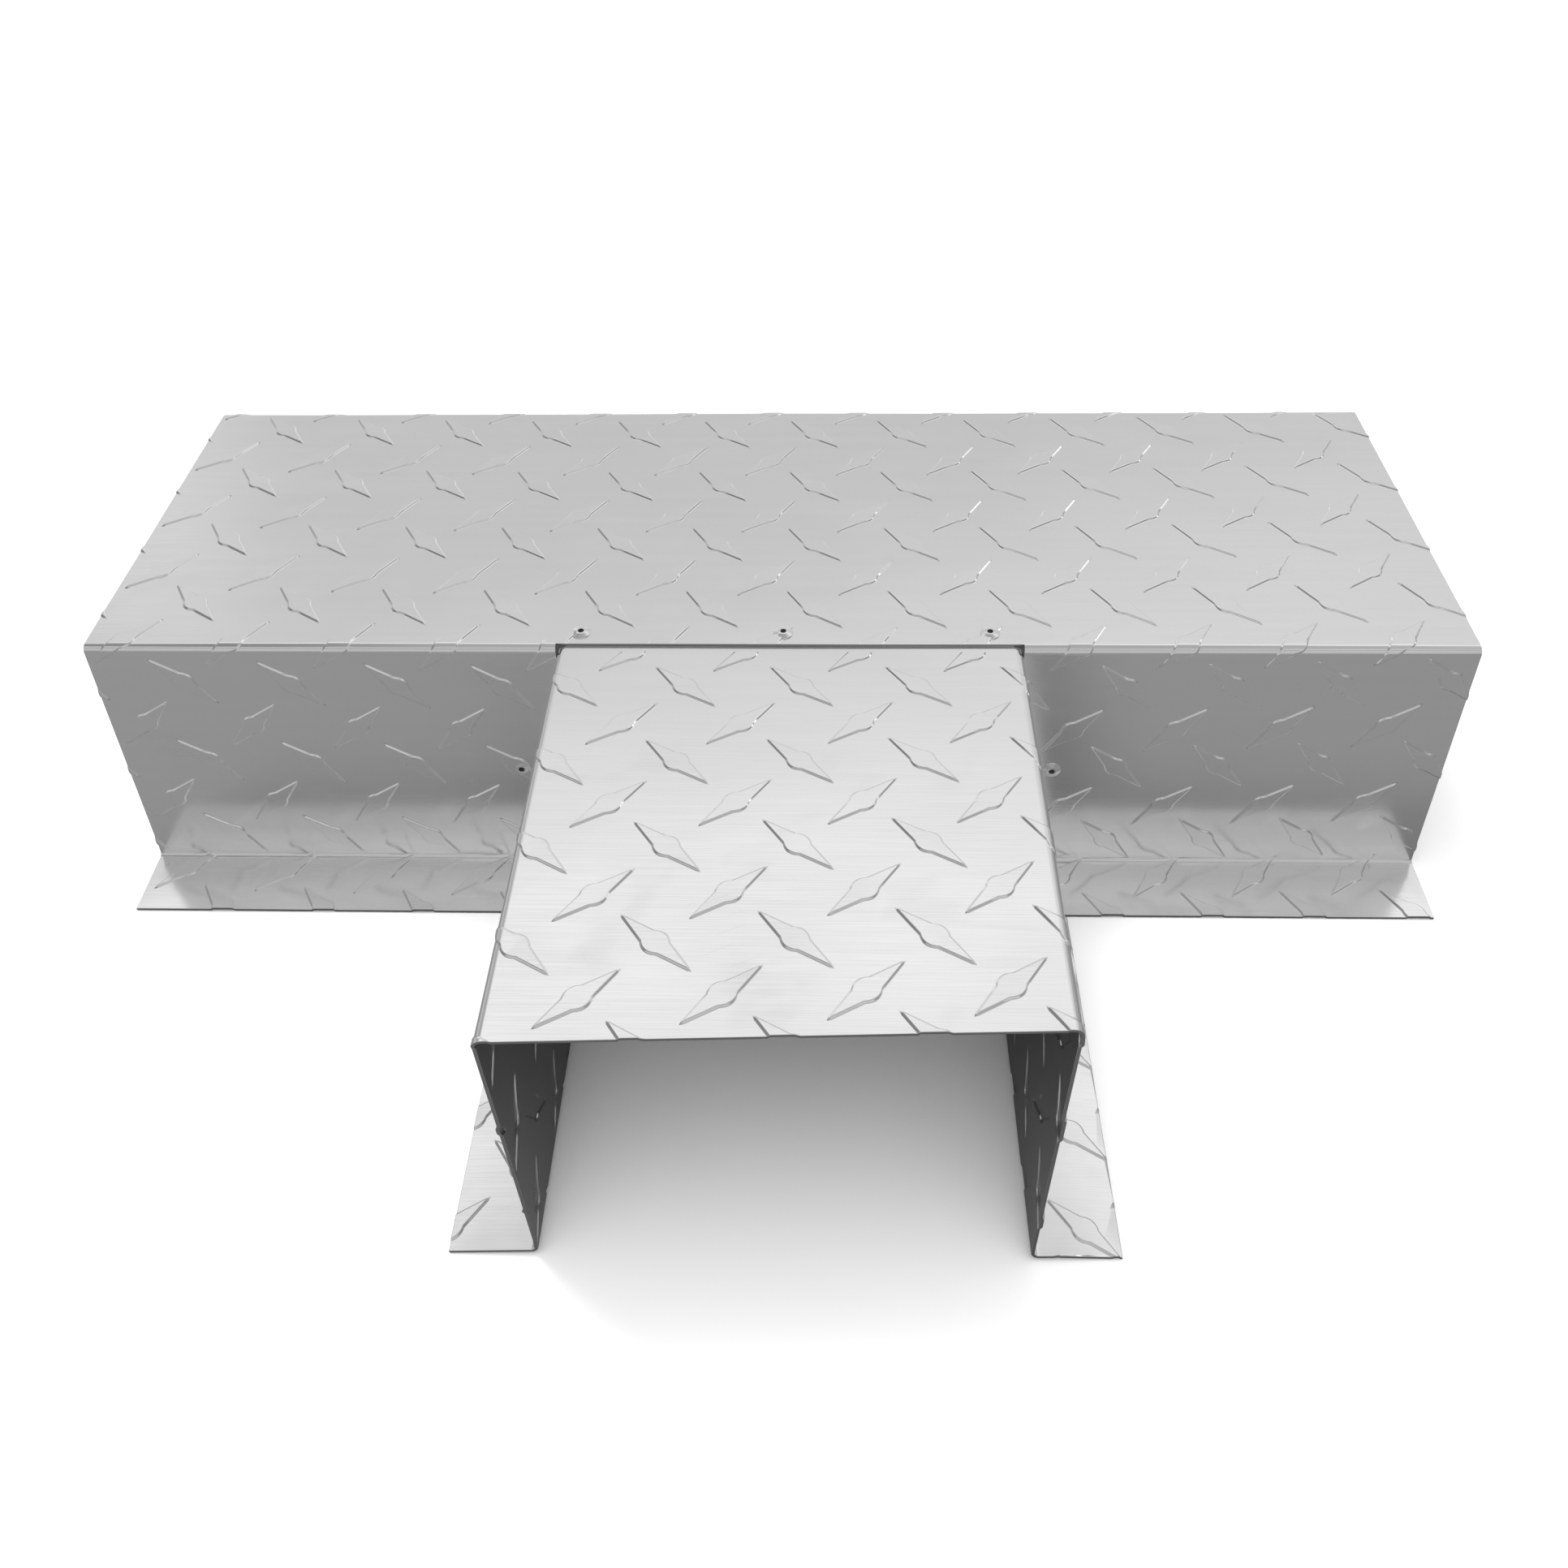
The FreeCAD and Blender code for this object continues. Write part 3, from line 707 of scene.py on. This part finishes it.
def plate_material():
    """Bright rolled aluminium: fine grain along the sheet, faint clouds and smudges, a few scratches,
    lug tops rubbed a little duller, and shear-cut edges that are rougher and painted dark grey as
    painted shade along the seams and the open end's rim."""
    material, shader, graph = new_metal("bright_aluminium")
    place = graph.node("ShaderNodeUVMap", uv_map="laid_out").outputs["UV"]
    grain = noise(graph, place, (0.03, 0.0004, 1))
    streaks = noise(graph, place, (0.12, 0.004, 1), 4.0)
    clouds = noise(graph, place, (0.05, 0.035, 1), 5.0)
    smudges = graph.step(noise(graph, place, (0.03, 0.022, 1), 2.0, 0.6), 0.56, 0.72)
    scratches = graph.step(noise(graph, place, (0.02, 0.0003, 1), 1.0, 0.45), 0.70, 0.76)
    scratches = graph.math("MULTIPLY", scratches, graph.step(clouds, 0.5, 0.6))
    more_scratches = graph.step(noise(graph, place, (0.03, 0.0003, 1), 1.0, -1.1), 0.72, 0.78)
    more_scratches = graph.math("MULTIPLY", more_scratches, graph.step(streaks, 0.5, 0.6))
    scratches = graph.math("MAXIMUM", scratches, more_scratches)
    raised = graph.node("ShaderNodeAttribute", attribute_name="raised").outputs["Fac"]
    rubbed = graph.math("MULTIPLY", graph.step(raised, 0.85, 1.0),
                        graph.step(clouds, 0.35, 0.65, 0.3, 1.0))
    cut = graph.node("ShaderNodeAttribute", attribute_name="cut").outputs["Fac"]

    roughness = graph.math("ADD", graph.step(grain, 0.3, 0.7, 0.13, 0.19),
                           graph.step(clouds, 0.3, 0.7, 0.0, 0.05))
    wear = ((smudges, 0.04), (scratches, 0.06), (rubbed, 0.04), (cut, 0.25))
    graph.link(graph.add_each(roughness, wear), shader, "Roughness")

    shade = graph.math("ADD", graph.step(streaks, 0.3, 0.7, 0.0, 0.2),
                       graph.step(grain, 0.3, 0.7, 0.0, 0.25))
    shade = graph.add_each(shade, ((smudges, 0.15), (scratches, 0.3)))
    # The cut edges' dark grey (0.38) is painted shade: it darkens the seams and the open end's rim as if
    # the edge lay in shadow; only their extra roughness is the real dull finish.
    metal, edge_shade_grey = graph.mix(shade, 0.935, 0.86), 0.38
    graph.link(graph.grey(graph.mix(cut, metal, edge_shade_grey)), shader, "Base Color")

    relief = graph.math("ADD", grain, graph.math("MULTIPLY", scratches, -0.8))
    graph.link(graph.bump(relief, 0.12, 0.00002), shader, "Normal")
    return material


def rivet_material(name, dark, light, smoothest, roughest):
    """Drawn or turned metal with a fine tumbled texture; for the mandrels its near-black greys are
    painted shade.
    """
    material, shader, graph = new_metal(name)
    place = graph.node("ShaderNodeTexCoord").outputs["Object"]
    tumbled = noise(graph, place, (0.0005, 0.0005, 0.0005), 3.0)
    stained = noise(graph, place, (0.003, 0.003, 0.003), 2.0)
    graph.link(graph.step(tumbled, 0.3, 0.7, smoothest, roughest), shader, "Roughness")
    spread = graph.mix(0.4, graph.step(stained, 0.3, 0.7), tumbled)
    graph.link(graph.grey(graph.mix(spread, dark, light)), shader, "Base Color")
    graph.link(graph.bump(tumbled, 0.3, 0.00003), shader, "Normal")
    return material


plate_metal = plate_material()
main_cover(plate_metal)
stem_cover(plate_metal)

rivet_metal = rivet_material("rivet_aluminium", 0.78, 0.92, 0.18, 0.30)
# The mandrels' near-black greys are painted shade: they darken the rivets' bores and the mandrel tails
# on the blind side inside the stem.
mandrel_shade_metal = rivet_material("mandrel_steel_painted_dark", 0.05, 0.14, 0.35, 0.5)
for node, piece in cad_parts.items():
    if node.endswith("_rivet"):
        piece.data.materials[0] = rivet_metal
    if node.endswith("_mandrel"):
        piece.data.materials[0] = mandrel_shade_metal


# ---------------------------------------------------------------- studio, in metres

GROUND_REACH = 6.0
FLOOR_HEIGHT, FLOOR_GREY = -1e-4, 0.9
BENCH_HEIGHT, BENCH_GREY = -5e-5, 0.17


def add_ground(name, height, grey):
    """A matt level sheet under the object."""
    mesh = bpy.data.meshes.new(name)
    corners = [(GROUND_REACH * x, GROUND_REACH * y, height)
               for x, y in ((-1, -1), (1, -1), (1, 1), (-1, 1))]
    mesh.from_pydata(corners, [], [(0, 1, 2, 3)])
    ground = bpy.data.objects.new(name, mesh)
    bpy.context.scene.collection.objects.link(ground)
    paint = bpy.data.materials.new(f"{name}_paint")
    paint.use_nodes = True
    shader = paint.node_tree.nodes["Principled BSDF"]
    shader.inputs["Base Color"].default_value = (grey, grey, grey, 1)
    shader.inputs["Roughness"].default_value = 1.0
    shader.inputs["Specular IOR Level"].default_value = 0.0
    mesh.materials.append(paint)
    return ground


def add_floor():
    """A pale floor for the eye, and a grey one, just above it, for the metal to mirror."""
    floor = add_ground("floor", FLOOR_HEIGHT, FLOOR_GREY)
    floor.visible_glossy = False
    bench = add_ground("bench", BENCH_HEIGHT, BENCH_GREY)
    bench.visible_camera = False
    bench.visible_diffuse = False
    bench.visible_shadow = False


def add_light(name, place, target, power, **settings):
    """A lamp that isn't mirrored in the metal: a sun where it has an angle, or a square panel."""
    lamp = bpy.data.lights.new(name, "SUN" if "angle" in settings else "AREA")
    lamp.energy = power
    for setting, value in settings.items():
        setattr(lamp, setting, value)
    light = bpy.data.objects.new(name, lamp)
    light.location = place
    light.visible_glossy = False
    light.rotation_euler = (Vector(target) - Vector(place)).to_track_quat("-Z", "Y").to_euler()
    bpy.context.scene.collection.objects.link(light)


# The studio's brightness by the height of a direction: behind the object and in front of it.
BEHIND = ((-1.0, 0.03), (-0.80, 0.04), (-0.62, 0.22), (-0.3, 0.6), (0.0, 0.9), (0.35, 0.62),
          (0.5, 0.56), (0.62, 0.58), (0.67, 0.66), (0.707, 0.80), (0.743, 0.93), (0.777, 1.0),
          (0.81, 0.94), (0.87, 0.62), (0.93, 0.45), (1.0, 0.38))
AHEAD = ((-1.0, 0.3), (-0.3, 0.36), (0.0, 0.46), (0.3, 0.55), (0.56, 0.52), (0.61, 0.35),
         (0.715, 0.37), (0.74, 0.68), (0.79, 0.68), (0.82, 0.50), (0.9, 0.46), (1.0, 0.40))


def add_world():
    """A room seen only in the metal: pale round the horizon, a bright band high behind, a darker left
    side, a right side that is dim but for a slanting patch, and a window low on the right. The camera
    sees plain white instead."""
    world = bpy.data.worlds.new("studio")
    world.use_nodes = True
    graph = Graph(world.node_tree)
    direction = graph.node("ShaderNodeTexCoord").outputs["Generated"]
    x, y, z = graph.node("ShaderNodeSeparateXYZ", {"Vector": direction}).outputs
    room = graph.mix(graph.step(y, -0.2, 0.2), graph.ramp(z, AHEAD), graph.ramp(z, BEHIND))
    left = graph.math("MULTIPLY", graph.step(x, -0.42, -0.58, 0.0, 0.6), graph.step(y, -0.34, -0.2))
    high_left = graph.math("MULTIPLY", graph.step(x, -0.26, -0.34, 0.0, 0.5), graph.step(z, 0.80, 0.85))
    left = graph.math("SUBTRACT", 1.0, graph.math("MAXIMUM", left, high_left))
    low_left = graph.math("MULTIPLY", graph.step(x, -0.34, -0.42), graph.step(z, 0.66, 0.56, 0.0, 0.32))
    left = graph.math("ADD", left, graph.math("MULTIPLY", low_left, graph.step(y, 0.3, 0.6)))
    slant = graph.math("ADD", x, graph.math("MULTIPLY", z, 2.4))
    right = graph.math("MULTIPLY", graph.step(slant, 1.48, 1.62), graph.step(z, 0.72, 0.62, 0.0, 0.2))
    room = graph.math("MULTIPLY", room, graph.math("ADD", left, right))
    room = graph.math("MULTIPLY", room, graph.step(x, 0.62, 0.76, 1.0, 0.5))
    window = graph.math("MULTIPLY", graph.step(x, 0.82, 0.85), graph.step(z, 0.39, 0.36, 0.0, 1.6))
    window = graph.math("MULTIPLY", window, graph.step(z, 0.24, 0.27))
    window = graph.math("MULTIPLY", window, graph.step(y, 0.20, 0.26))
    room = graph.math("ADD", room, window)
    seen = graph.node("ShaderNodeLightPath").outputs["Is Camera Ray"]
    graph.link(graph.mix(seen, room, 1.0), graph.tree.nodes["Background"], "Color")
    bpy.context.scene.world = world


CAMERA_PLACE = (0.016865, -0.38255, 0.419858)
CAMERA_YAW, CAMERA_PITCH, CAMERA_ROLL = -0.03432, 0.6352, -0.02042   # pitch downwards
CAMERA_SENSOR, CAMERA_LENS = 36.0, 34.332                            # millimetres
CAMERA_SHIFT = -0.157
CAMERA_NEAREST = 0.02


def add_camera():
    """A little to the right of the middle, looking down at the front, with an upright shift."""
    yaw, pitch, roll = CAMERA_YAW, CAMERA_PITCH, CAMERA_ROLL
    ahead = Vector((math.sin(yaw) * math.cos(pitch), math.cos(yaw) * math.cos(pitch), -math.sin(pitch)))
    level = Vector((math.cos(yaw), -math.sin(yaw), 0.0))
    upright = level.cross(ahead)
    right = level * math.cos(roll) + upright * math.sin(roll)
    up = upright * math.cos(roll) - level * math.sin(roll)
    data = bpy.data.cameras.new("camera")
    data.sensor_width = CAMERA_SENSOR
    data.lens = CAMERA_LENS
    data.shift_y = CAMERA_SHIFT
    data.clip_start = CAMERA_NEAREST
    camera = bpy.data.objects.new("camera", data)
    turned = Matrix((right, up, -ahead)).transposed().to_4x4()
    camera.matrix_world = Matrix.Translation(CAMERA_PLACE) @ turned
    bpy.context.scene.collection.objects.link(camera)
    bpy.context.scene.camera = camera


add_floor()
add_world()
add_light("key_softbox", (-0.8, 0.8, 2.4), (0, 0, 0), 40, size=0.9)
add_light("low_softbox", (0, -2.4, 0.7), (0, -0.1, 0), 14, size=1.6)
add_light("ceiling", (0, -0.5, 2.6), (0, 0, 0), 2.4, angle=1.2)
add_camera()
bpy.context.scene.view_settings.view_transform = "Standard"
